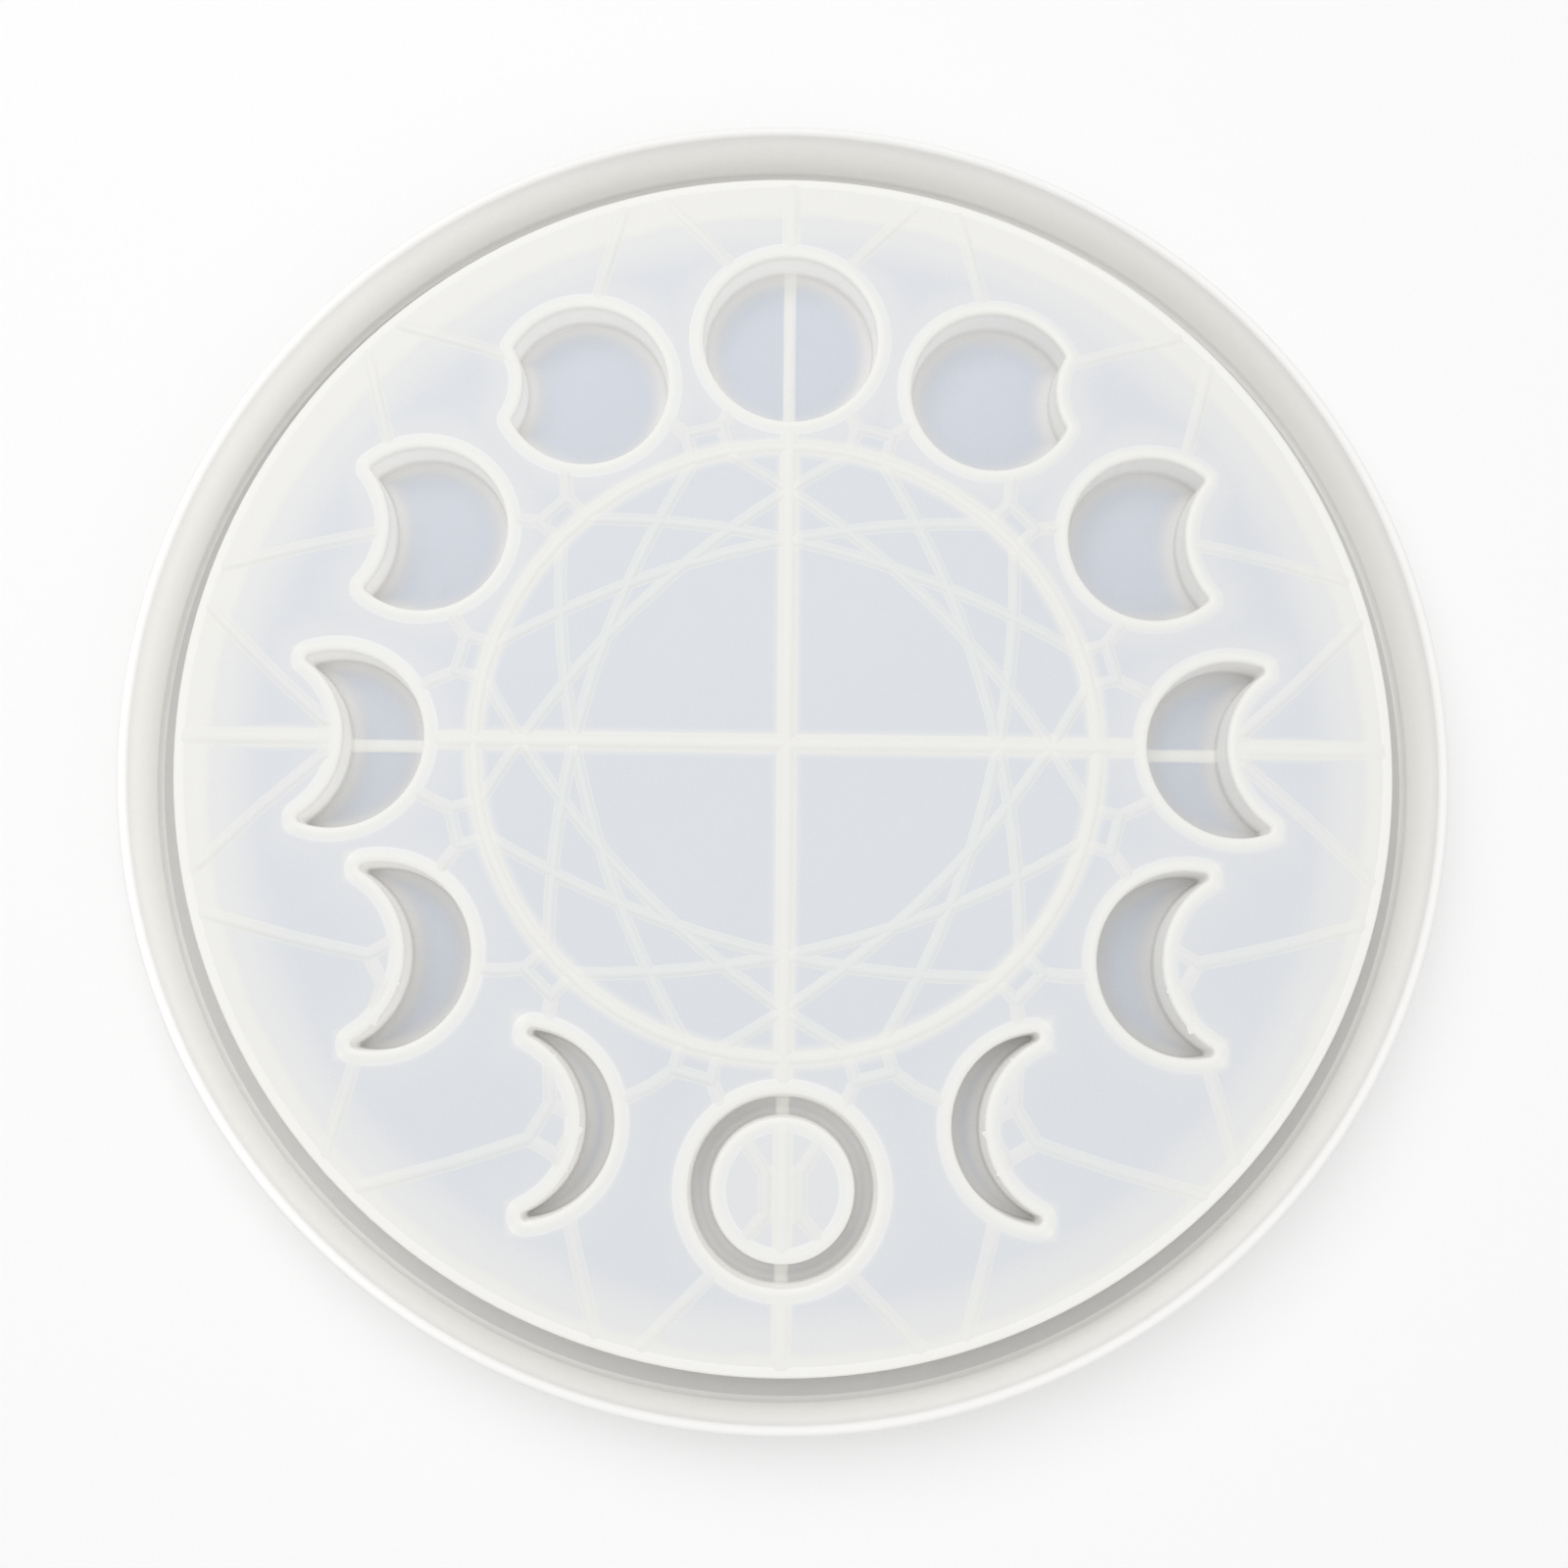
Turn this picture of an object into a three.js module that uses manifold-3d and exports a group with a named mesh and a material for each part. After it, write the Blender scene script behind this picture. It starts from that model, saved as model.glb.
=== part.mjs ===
// Round silicone casting mould for a moon-phase board.
//
// The mould is a shallow tray. A raised deck stands in the middle with twelve moon-shaped
// pockets sunk into it, full moon at the back (+Y) and new moon at the front (-Y). A channel
// runs round the deck and a flared rim stands outside the channel. Fine raised lines cover
// the deck. Under the deck a round wall and a cross of straight walls carry it.
//
// Millimetres, +Z up. The origin is the centre of the underside.

import * as THREE from 'three';
import { mergeVertices } from 'three/addons/utils/BufferGeometryUtils.js';
import Module from 'manifold-3d';

const wasm = await Module();
wasm.setup();

// Round walls and floors
const deckRadius = 95;
const deckHeight = 9;
const deckThickness = 1.5;
const sideWallThickness = 1.6;
const sideWallFootStep = 0.3;
const channelWidth = 4.35;
const channelFloorThickness = 2;
const channelEdgeChamfer = 0.4;
const rimHeight = 12.4;
const rimFlare = 1.65;
const rimFootThickness = 2.2;
const rimTopThickness = 1.7;

// Moon pockets
const pocketDepth = 6.4;
const pocketDraftDegrees = 3;
const pocketWall = 1.4;
const pocketFloor = 1.4;
const tipRadius = 0.7;

// Walls under the deck
const ringWallRadius = 48.7;
const ringWallThickness = 1.5;
const crossWallThickness = 1.9;
const wallGap = 0.3;

// Raised lines
const lineHeight = 0.35;
const lipHeight = 0.25;
const lipWidth = 1.4;
const floorLineHeight = 0.35;
const circleLineWidth = 1.5;
const starLineWidth = 1.1;
const strandLineWidth = 1.2;
const lineEndMargin = 1.5;
const starClosestRadius = 32.2;
const starArcRadius = 146.2;
const gapBoxHalfWidth = 2.95;
const gapBoxReach = 4.3;
const strandKneeIn = [55.6, 9.2];
const strandWaistIn = [65.5, 2.6];
const strandWaistOut = [71.7, 2.6];
const strandKneeOut = [80, 10];
const strandSplayDegrees = 45;

// Facets
const roundFacets = 60;
const moonFacets = 28;
const tipFacets = 3;
const starFacets = 8;

// One entry for each moon shape. Each moon stands off the ring wall by its clearance, at its
// angle from +X in degrees. The shapes with a bite are drawn for the right-hand side and
// mirrored to the left. A bite circle is shifted outward from the moon's own by biteShift.
const fullMoon = { angle: 90, clearance: 2.15, radius: 14.1 };
const newMoon = { angle: -90, clearance: 3, radius: 14.15, islandRadius: 10.8 };
const bittenMoons = [
  { phase: 'near_full', angle: 60.6, clearance: 3.1, radius: 13.3, biteRadius: 11.6, biteShift: 21.7 },
  { phase: 'gibbous', angle: 30.4, clearance: 3.2, radius: 13.4, biteRadius: 15, biteShift: 20.2 },
  { phase: 'half', angle: 0, clearance: 5.65, radius: 14, biteRadius: 15, biteShift: 13.5 },
  { phase: 'crescent', angle: -28.4, clearance: 5.55, radius: 14.3, biteRadius: 15, biteShift: 10.7 },
  { phase: 'thin_crescent', angle: -55.8, clearance: 5.55, radius: 14.35, biteRadius: 14.4, biteShift: 5 },
];

// Sizes that follow from the values above
const deckUnderside = deckHeight - deckThickness;
const pocketFloorTop = deckHeight - pocketDepth;
const cupBottom = pocketFloorTop - pocketFloor;
const pocketDraft = pocketDepth * Math.tan(THREE.MathUtils.degToRad(pocketDraftDegrees));
const sideWallInner = deckRadius - sideWallThickness;
const rimFootInner = deckRadius + channelWidth;
const rimFootOuter = rimFootInner + rimFootThickness;
const rimTopInner = rimFootInner + rimFlare;
const clearAbove = 2;

const thinSilicone = { color: 0xdbe0e6, roughness: 0.42, metalness: 0 };
const thickSilicone = { color: 0xebedee, roughness: 0.42, metalness: 0 };

const mould = new THREE.Group();

function addPiece(name, geometry, finish) {
  const mesh = new THREE.Mesh(geometry, new THREE.MeshStandardMaterial(finish));
  mesh.name = name;
  mould.add(mesh);
}

// Solids that can be joined and cut

function toSolid(geometry) {
  geometry.deleteAttribute('normal');
  geometry.deleteAttribute('uv');
  const merged = mergeVertices(geometry, 1e-4);
  return new wasm.Manifold(new wasm.Mesh({
    numProp: 3,
    vertProperties: new Float32Array(merged.attributes.position.array),
    triVerts: new Uint32Array(merged.index.array),
  }));
}

function toGeometry(solid) {
  const mesh = solid.getMesh();
  const geometry = new THREE.BufferGeometry();
  geometry.setAttribute('position', new THREE.BufferAttribute(mesh.vertProperties, 3));
  geometry.setIndex(new THREE.BufferAttribute(mesh.triVerts, 1));
  geometry.computeVertexNormals();
  return geometry;
}

function joinAll(solids) {
  return solids.reduce((sum, solid) => sum.add(solid));
}

function cutAll(solid, cutters) {
  return cutters.reduce((rest, cutter) => rest.subtract(cutter), solid);
}

// A flat outline raised from one height to another
function raise(shape, bottom, top) {
  const geometry = new THREE.ExtrudeGeometry(shape, { depth: top - bottom, bevelEnabled: false });
  geometry.translate(0, 0, bottom);
  return toSolid(geometry);
}

// A closed profile of [radius, height] points turned once round the Z axis
function turn(profile) {
  const points = [...profile, profile[0]].map(([r, z]) => new THREE.Vector2(r, z));
  const geometry = new THREE.LatheGeometry(points, roundFacets);
  geometry.rotateX(Math.PI / 2);
  return toSolid(geometry);
}

function circlePoints(x, y, radius, facets) {
  return Array.from({ length: facets }, (_, i) => {
    const angle = (i / facets) * 2 * Math.PI;
    return new THREE.Vector2(x + radius * Math.cos(angle), y + radius * Math.sin(angle));
  });
}

function arcPoints(centre, radius, from, to, facets) {
  return Array.from({ length: facets + 1 }, (_, i) => {
    const angle = from + ((to - from) * i) / facets;
    return new THREE.Vector2(centre.x + radius * Math.cos(angle), centre.y + radius * Math.sin(angle));
  });
}

function discShape(x, y, radius, facets) {
  return new THREE.Shape(circlePoints(x, y, radius, facets));
}

function ringShape(x, y, inner, outer, facets) {
  const shape = discShape(x, y, outer, facets);
  shape.holes.push(new THREE.Path(circlePoints(x, y, inner, facets)));
  return shape;
}

// How far a moon's centre stands from the middle of the deck
function moonReach(moon) {
  return ringWallRadius + ringWallThickness / 2 + moon.clearance + pocketWall + moon.radius;
}

function moonCentre(moon) {
  const angle = THREE.MathUtils.degToRad(moon.angle);
  return new THREE.Vector2(moonReach(moon), 0).rotateAround(new THREE.Vector2(), angle);
}

// Moon outlines

// The outline of a bitten moon, grown outward by the given amount. A small round joins the
// disc to the bite at each tip. Every outline is drawn for the right-hand side of the board.
function bittenOutline(moon, grow) {
  const disc = moonCentre(moon);
  const bite = new THREE.Vector2(disc.x + moon.biteShift, disc.y);
  const reachDisc = moon.radius - tipRadius;
  const reachBite = moon.biteRadius + tipRadius;
  const along = (reachDisc ** 2 - reachBite ** 2 + moon.biteShift ** 2) / (2 * moon.biteShift);
  const across = Math.sqrt(reachDisc ** 2 - along ** 2);
  const discTurn = Math.atan2(across, along);
  const biteTurn = Math.atan2(across, moon.biteShift - along);
  const topTip = new THREE.Vector2(disc.x + along, disc.y + across);
  const lowTip = new THREE.Vector2(disc.x + along, disc.y - across);
  const tip = tipRadius + grow;
  const biteFacets = Math.max(4, Math.round((biteTurn / Math.PI) * moonFacets));
  const discFacets = Math.round((1 - discTurn / Math.PI) * moonFacets);
  return [
    ...arcPoints(disc, moon.radius + grow, discTurn, 2 * Math.PI - discTurn, discFacets),
    ...arcPoints(lowTip, tip, -discTurn, biteTurn, tipFacets).slice(1),
    ...arcPoints(bite, moon.biteRadius - grow, Math.PI + biteTurn, Math.PI - biteTurn, biteFacets).slice(1),
    ...arcPoints(topTip, tip, -biteTurn, discTurn, tipFacets).slice(1, -1),
  ];
}

function moonShape(moon, grow) {
  const { x, y } = moonCentre(moon);
  if (moon.islandRadius) {
    return ringShape(x, y, moon.islandRadius - grow, moon.radius + grow, moonFacets);
  }
  if (!moon.biteRadius) {
    return discShape(x, y, moon.radius + grow, moonFacets);
  }
  const outline = bittenOutline(moon, grow);
  if (!moon.mirrored) {
    return new THREE.Shape(outline);
  }
  return new THREE.Shape(outline.map((point) => new THREE.Vector2(-point.x, point.y)).reverse());
}

// The space of one pocket. It narrows from the deck to the pocket floor by the draft, and
// stays at the mouth's size for a little way above the deck.
function pocketSpace(moon) {
  const geometry = new THREE.ExtrudeGeometry(moonShape(moon, -pocketDraft), {
    depth: clearAbove,
    bevelThickness: pocketDepth,
    bevelSize: pocketDraft,
    bevelSegments: 1,
  });
  geometry.translate(0, 0, deckHeight);
  return toSolid(geometry);
}

// The inside of the new moon's ring, as far as the middle of its trough
function islandSpace() {
  const { x, y } = moonCentre(newMoon);
  const middle = (newMoon.radius + newMoon.islandRadius) / 2;
  return raise(discShape(x, y, middle, moonFacets), 0, deckHeight + clearAbove);
}

// A pocket's walls and floor, hanging under the deck. Where a cross line runs over the
// pocket, the floor carries it on as a low raised line.
function buildCup(moon) {
  const outside = raise(moonShape(moon, pocketWall), cupBottom, deckUnderside);
  const cup = outside.subtract(pocketSpace(moon));
  const lineTop = pocketFloor + floorLineHeight;
  if (moon.angle % 90 !== 0) {
    return cup;
  }
  const line = new THREE.BoxGeometry(2 * (moon.radius + pocketWall), crossWallThickness, lineTop);
  line.translate(moonReach(moon), 0, cupBottom + lineTop / 2);
  line.rotateZ(THREE.MathUtils.degToRad(moon.mirrored ? 180 : moon.angle));
  return cup.add(toSolid(line).intersect(outside));
}

// Deck, channel and rim

function buildDeckPlate(spaces) {
  const plate = raise(discShape(0, 0, deckRadius, roundFacets), deckUnderside, deckHeight);
  return cutAll(plate, [...spaces, islandSpace()]);
}

function buildIsland(troughSpace) {
  return islandSpace()
    .intersect(raise(discShape(0, 0, deckRadius, roundFacets), deckUnderside, deckHeight))
    .subtract(troughSpace);
}

function buildDeckSideWall() {
  return turn([
    [sideWallInner, channelFloorThickness],
    [deckRadius + sideWallFootStep, channelFloorThickness],
    [deckRadius, deckUnderside],
    [sideWallInner, deckUnderside],
  ]);
}

function buildChannelFloor() {
  return turn([
    [sideWallInner, 0],
    [rimFootOuter - channelEdgeChamfer, 0],
    [rimFootOuter, channelEdgeChamfer],
    [rimFootOuter, channelFloorThickness],
    [sideWallInner, channelFloorThickness],
  ]);
}

// The rim leans outward and ends in a rounded edge
function buildRim() {
  const round = rimTopThickness / 2;
  const edge = arcPoints(new THREE.Vector2(rimTopInner + round, rimHeight - round), round, 0, Math.PI, 6);
  return turn([
    [rimFootInner, channelFloorThickness],
    [rimFootOuter, channelFloorThickness],
    ...edge.map((point) => [point.x, point.y]),
  ]);
}

// Walls under the deck

function buildRingWall() {
  const half = ringWallThickness / 2;
  return turn([
    [ringWallRadius - half, 0],
    [ringWallRadius + half, 0],
    [ringWallRadius + half, deckUnderside],
    [ringWallRadius - half, deckUnderside],
  ]);
}

function buildCentreCrossWall() {
  const reach = ringWallRadius - ringWallThickness / 2 - wallGap;
  const along = new THREE.BoxGeometry(2 * reach, crossWallThickness, deckUnderside);
  const across = new THREE.BoxGeometry(crossWallThickness, 2 * reach, deckUnderside);
  along.translate(0, 0, deckUnderside / 2);
  across.translate(0, 0, deckUnderside / 2);
  return toSolid(along).add(toSolid(across));
}

// A straight wall from the ring wall to the deck's side wall. It is cut down to pass under
// each stretch that a cup takes up, given as [from, to] distances from the centre.
function buildOuterWall(quarterTurns, cupStretches) {
  const points = [new THREE.Vector2(ringWallRadius + ringWallThickness / 2 + wallGap, 0)];
  points.push(new THREE.Vector2(points[0].x, deckUnderside));
  for (const [from, to] of cupStretches) {
    points.push(new THREE.Vector2(from - wallGap, deckUnderside));
    points.push(new THREE.Vector2(from - wallGap, cupBottom));
    points.push(new THREE.Vector2(to + wallGap, cupBottom));
    points.push(new THREE.Vector2(to + wallGap, deckUnderside));
  }
  points.push(new THREE.Vector2(sideWallInner - wallGap, deckUnderside));
  points.push(new THREE.Vector2(sideWallInner - wallGap, 0));
  const geometry = new THREE.ExtrudeGeometry(new THREE.Shape(points), {
    depth: crossWallThickness,
    bevelEnabled: false,
  });
  geometry.translate(0, 0, -crossWallThickness / 2);
  geometry.rotateX(Math.PI / 2);
  geometry.rotateZ((quarterTurns * Math.PI) / 2);
  return toSolid(geometry);
}

// The stretches of a cross wall that lie under a moon's cup
function cupStretches(moon) {
  const middle = moonReach(moon);
  const near = middle - moon.radius - pocketWall;
  const far = middle + moon.radius + pocketWall;
  if (moon.islandRadius) {
    const inside = moon.islandRadius - pocketWall;
    return [[near, middle - inside], [middle + inside, far]];
  }
  if (moon.biteRadius) {
    return [[near, middle + moon.biteShift - moon.biteRadius + pocketWall]];
  }
  return [[near, far]];
}

// Raised lines

// A line of even width through the given points
function lineShape(points, width) {
  const half = width / 2;
  const side = (sign) => points.map((point, i) => {
    const before = points[Math.max(i - 1, 0)];
    const after = points[Math.min(i + 1, points.length - 1)];
    const arriving = (i > 0 ? point.clone().sub(before) : after.clone().sub(point)).normalize();
    const leaving = (i < points.length - 1 ? after.clone().sub(point) : arriving.clone()).normalize();
    const mitre = arriving.clone().add(leaving).normalize();
    const reach = (sign * half) / mitre.dot(arriving);
    return new THREE.Vector2(point.x - mitre.y * reach, point.y + mitre.x * reach);
  });
  return new THREE.Shape([...side(1), ...side(-1).reverse()]);
}

function raisedLine(points, width) {
  return raise(lineShape(points, width), deckHeight, deckHeight + lineHeight);
}

function place(angle, [along, across]) {
  return new THREE.Vector2(along, across).rotateAround(new THREE.Vector2(), angle);
}

// One arc of the twelve-armed star. It bulges outward, and starts and ends on the circle.
function starArc(angle) {
  const back = starArcRadius - starClosestRadius;
  const turnAtCentre = (starArcRadius ** 2 - back ** 2 - ringWallRadius ** 2) / (2 * back * ringWallRadius);
  const away = Math.acos(turnAtCentre);
  const half = Math.atan2(ringWallRadius * Math.sin(away), back + ringWallRadius * Math.cos(away));
  const points = arcPoints(new THREE.Vector2(-back, 0), starArcRadius, -half, half, starFacets);
  return raisedLine(points.map((point) => place(angle, [point.x, point.y])), starLineWidth);
}

// The small box that stands on the circle in each gap between two moons
function gapBox(angle) {
  const reach = ringWallRadius + gapBoxReach;
  const points = [
    [ringWallRadius, -gapBoxHalfWidth],
    [reach, -gapBoxHalfWidth],
    [reach, gapBoxHalfWidth],
    [ringWallRadius, gapBoxHalfWidth],
  ];
  return raisedLine(points.map((point) => place(angle, point)), starLineWidth);
}

// The two strands that run through a moon from the gap boxes to the deck's edge, drawn
// together at a narrow waist with a short bar across each end of it
function moonStrands(angle) {
  const corner = new THREE.Vector2(ringWallRadius + gapBoxReach, gapBoxHalfWidth);
  corner.rotateAround(new THREE.Vector2(), -Math.PI / 12).multiply(new THREE.Vector2(1, -1));
  const splay = THREE.MathUtils.degToRad(strandSplayDegrees);
  const knee = new THREE.Vector2(...strandKneeOut);
  const along = knee.dot(new THREE.Vector2(Math.cos(splay), Math.sin(splay)));
  const run = Math.sqrt(along ** 2 + (deckRadius - lineEndMargin) ** 2 - knee.lengthSq()) - along;
  const end = [knee.x + run * Math.cos(splay), knee.y + run * Math.sin(splay)];
  const strand = [[corner.x, corner.y], strandKneeIn, strandWaistIn, strandWaistOut, strandKneeOut, end];
  const mirrored = strand.map(([x, y]) => [x, -y]);
  const bars = [strandWaistIn, strandWaistOut].map(([x, y]) => [[x, -y], [x, y]]);
  return joinAll([strand, mirrored, ...bars].map(
    (points) => raisedLine(points.map((point) => place(angle, point)), strandLineWidth),
  ));
}

function crossLine(angle) {
  const reach = deckRadius - lineEndMargin;
  return raisedLine([place(angle, [-reach, 0]), place(angle, [reach, 0])], crossWallThickness);
}

function allLines() {
  const circle = ringShape(
    0,
    0,
    ringWallRadius - circleLineWidth / 2,
    ringWallRadius + circleLineWidth / 2,
    roundFacets,
  );
  const solids = [raise(circle, deckHeight, deckHeight + lineHeight), crossLine(0), crossLine(Math.PI / 2)];
  for (let i = 0; i < 12; i += 1) {
    const angle = (i * Math.PI) / 6;
    solids.push(starArc(angle + Math.PI / 12));
    solids.push(gapBox(angle + Math.PI / 12));
    solids.push(moonStrands(angle));
  }
  return joinAll(solids);
}

// The low lip round a pocket's mouth, before the pocket is cut through it
function mouthLip(moon) {
  const outline = new THREE.Shape(moonShape(moon, lipWidth).getPoints());
  return raise(outline, deckHeight, deckHeight + lipHeight);
}

function buildDeckLines(lines, moons, spaces) {
  return cutAll(joinAll([lines, ...moons.map(mouthLip)]), [...spaces, islandSpace()]);
}

function buildIslandLines(lines, troughSpace) {
  const { x, y } = moonCentre(newMoon);
  const lip = ringShape(x, y, newMoon.islandRadius - lipWidth, newMoon.islandRadius + pocketDraft, moonFacets);
  return lines
    .add(raise(lip, deckHeight, deckHeight + lipHeight))
    .intersect(islandSpace())
    .subtract(troughSpace);
}

// The whole mould

const sides = [
  { name: 'waning', mirrored: false },
  { name: 'waxing', mirrored: true },
];
const pairedMoons = sides.flatMap((side) => bittenMoons.map((moon) => ({
  ...moon,
  mirrored: side.mirrored,
  name: `${side.name}_${moon.phase}_cup`,
})));
const moons = [
  { ...fullMoon, name: 'full_moon_cup' },
  { ...newMoon, name: 'new_moon_trough' },
  ...pairedMoons,
];
const spaces = moons.map(pocketSpace);
const troughSpace = spaces[1];
const lines = allLines();
const halfMoon = bittenMoons[2];

addPiece('outer_rim', toGeometry(buildRim()), thickSilicone);
addPiece('channel_floor', toGeometry(buildChannelFloor()), thinSilicone);
addPiece('deck_side_wall', toGeometry(buildDeckSideWall()), thickSilicone);
addPiece('deck_plate', toGeometry(buildDeckPlate(spaces)), thinSilicone);
addPiece('deck_line_work', toGeometry(buildDeckLines(lines, moons, spaces)), thickSilicone);
addPiece('new_moon_island', toGeometry(buildIsland(troughSpace)), thinSilicone);
addPiece('island_line_work', toGeometry(buildIslandLines(lines, troughSpace)), thickSilicone);
for (const moon of moons) {
  addPiece(moon.name, toGeometry(buildCup(moon)), thinSilicone);
}
addPiece('ring_wall', toGeometry(buildRingWall()), thickSilicone);
addPiece('centre_cross_wall', toGeometry(buildCentreCrossWall()), thickSilicone);
addPiece('east_wall', toGeometry(buildOuterWall(0, cupStretches(halfMoon))), thickSilicone);
addPiece('north_wall', toGeometry(buildOuterWall(1, cupStretches(fullMoon))), thickSilicone);
addPiece('west_wall', toGeometry(buildOuterWall(2, cupStretches(halfMoon))), thickSilicone);
addPiece('south_wall', toGeometry(buildOuterWall(3, cupStretches(newMoon))), thickSilicone);

export default mould;
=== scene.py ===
"""Round silicone casting mould for a moon-phase board, as a Blender add-on laid over the CAD frame.

Sizes are in millimetres and are brought to metres when a piece is finished.
"""

import math

import bmesh
import bpy
from bpy.props import FloatProperty, FloatVectorProperty, IntProperty, PointerProperty
from mathutils import Matrix, Vector


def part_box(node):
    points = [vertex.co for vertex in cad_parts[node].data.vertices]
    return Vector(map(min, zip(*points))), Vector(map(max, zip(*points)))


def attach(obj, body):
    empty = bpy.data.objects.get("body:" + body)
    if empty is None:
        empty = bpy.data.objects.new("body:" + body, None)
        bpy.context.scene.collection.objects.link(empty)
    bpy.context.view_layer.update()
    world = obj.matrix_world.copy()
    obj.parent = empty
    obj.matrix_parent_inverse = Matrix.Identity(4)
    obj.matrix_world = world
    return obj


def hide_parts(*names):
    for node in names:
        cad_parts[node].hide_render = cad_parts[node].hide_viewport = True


bl_info = {
    "name": "Moon Board Casting Mould",
    "version": (1, 0, 0),
    "blender": (4, 5, 0),
    "location": "3D View > Sidebar > Mould",
    "description": "Builds a round milky silicone mould with moon-shaped pockets and raised lines",
    "category": "Mesh",
}

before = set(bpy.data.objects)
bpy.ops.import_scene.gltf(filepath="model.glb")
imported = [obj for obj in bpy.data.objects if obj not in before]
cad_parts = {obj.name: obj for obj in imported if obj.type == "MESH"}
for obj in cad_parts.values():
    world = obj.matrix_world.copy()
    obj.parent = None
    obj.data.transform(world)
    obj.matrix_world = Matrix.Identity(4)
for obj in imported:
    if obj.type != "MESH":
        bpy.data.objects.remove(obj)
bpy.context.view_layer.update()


def box_mm(node):
    """Lowest and highest corner of a CAD node, in millimetres."""
    low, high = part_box(node)
    return low * 1000, high * 1000


# Heights and radii that the CAD settles
DECK_TOP = box_mm("deck_plate")[1].z
DECK_UNDERSIDE = box_mm("deck_plate")[0].z
DECK_RADIUS = box_mm("deck_plate")[1].x
CHANNEL_TOP = box_mm("channel_floor")[1].z
RIM_FOOT_OUTER = box_mm("channel_floor")[1].x
RIM_OUTER = box_mm("outer_rim")[1].x
RIM_TOP = box_mm("outer_rim")[1].z
RING_OUTER = box_mm("ring_wall")[1].x
CUP_BOTTOM = box_mm("full_moon_cup")[0].z
CROSS_WIDTH = 2 * box_mm("north_wall")[1].x

# Sizes that no node's box gives
SIDE_WALL_INNER = DECK_RADIUS - 1.6
SHEET_RADIUS = DECK_RADIUS - 1.5
WALL_ROOF = DECK_UNDERSIDE + 0.05  # walls under the deck reach a little into its sheet
SHEET_GAP = 0.9  # the sheet stops this far outside a mouth, under the cup's lip
OVERLAP = 0.2  # how far a wall under the deck runs on into its neighbour
LINE_INSET = 0.2  # a floor line ends this far inside the mouth, in the foot of the wall
MOON_STEPS = 96
MOON_COUNT = 12
MOON_SPACING = 360 / MOON_COUNT
SHARP_ANGLE = math.radians(38)  # edges that turn more than this are shaded sharp

# One entry for each moon shape, as in the CAD. Each stands off the ring wall by its clearance,
# at its angle from +X in degrees. A bite circle is shifted outward from the moon's own.
FULL_MOON = {"angle": 90, "clearance": 2.15, "radius": 14.1}
NEW_MOON = {"angle": -90, "clearance": 3.0, "radius": 14.15, "island": 10.8}
BITTEN_KEYS = ("phase", "angle", "clearance", "radius", "bite", "shift")
BITTEN_MOONS = tuple(dict(zip(BITTEN_KEYS, row)) for row in (
    ("near_full", 60.6, 3.1, 13.3, 11.6, 21.7),
    ("gibbous", 30.4, 3.2, 13.4, 15.0, 20.2),
    ("half", 0.0, 5.65, 14.0, 15.0, 13.5),
    ("crescent", -28.4, 5.55, 14.3, 15.0, 10.7),
    ("thin_crescent", -55.8, 5.55, 14.35, 14.4, 5.0),
))
HALF_MOON = BITTEN_MOONS[2]


# ---------------------------------------------------------------------------
# Settings
# ---------------------------------------------------------------------------


def length_mm(name, description, default, lowest=0.0):
    """A length in millimetres that the user can set."""
    return FloatProperty(name=name, description=description, default=default, min=lowest)


def tint(name, description, default):
    """A colour that the user can set."""
    return FloatVectorProperty(
        name=name, description=description, default=default, subtype="COLOR", size=3, min=0, max=1
    )


class MouldSizes(bpy.types.PropertyGroup):
    """Sizes of the mould that a user would change, in millimetres."""

    cup_wall: length_mm("Cup Wall", "Thickness of a pocket's wall", 1.4, 0.8)
    pocket_depth: length_mm("Pocket Depth", "From the deck to a pocket's floor", 6.4, 1.0)
    pocket_draft: FloatProperty(
        name="Pocket Draft", description="Lean of a pocket's wall",
        default=math.radians(3), subtype="ANGLE",
    )
    tip_radius: length_mm("Tip Radius", "Round at each tip of a bitten moon", 0.7, 0.3)
    lip_height: length_mm("Lip Height", "How far the lip round a mouth stands up", 0.25)
    rim_foot: length_mm("Rim Foot", "Thickness of the rim at its foot", 2.2, 0.5)
    rim_top: length_mm("Rim Top", "Thickness of the rim at its rounded edge", 1.7, 0.5)
    cove: length_mm("Cove", "Fillet where a wall meets a floor", 0.8, 0.1)
    crown_round: length_mm("Crown Round", "Round on the deck's outer edge", 0.45, 0.1)
    ring_thickness: length_mm("Ring Thickness", "Thickness of the wall under the circle", 1.5)
    line_height: length_mm("Line Height", "How far the deck's lines stand up", 0.35)
    circle_width: length_mm("Circle Width", "Width of the circle's line", 1.5)
    star_width: length_mm("Star Width", "Width of the star's arcs and of the gap boxes", 1.3)
    strand_width: length_mm("Strand Width", "Width of the strands through the moons", 1.4)
    floor_line_height: length_mm("Floor Line Height", "Height of a line on a pocket's floor", 0.35)
    round_steps: IntProperty(
        name="Round Steps", description="Steps in a full turn", default=180, min=24
    )


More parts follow.
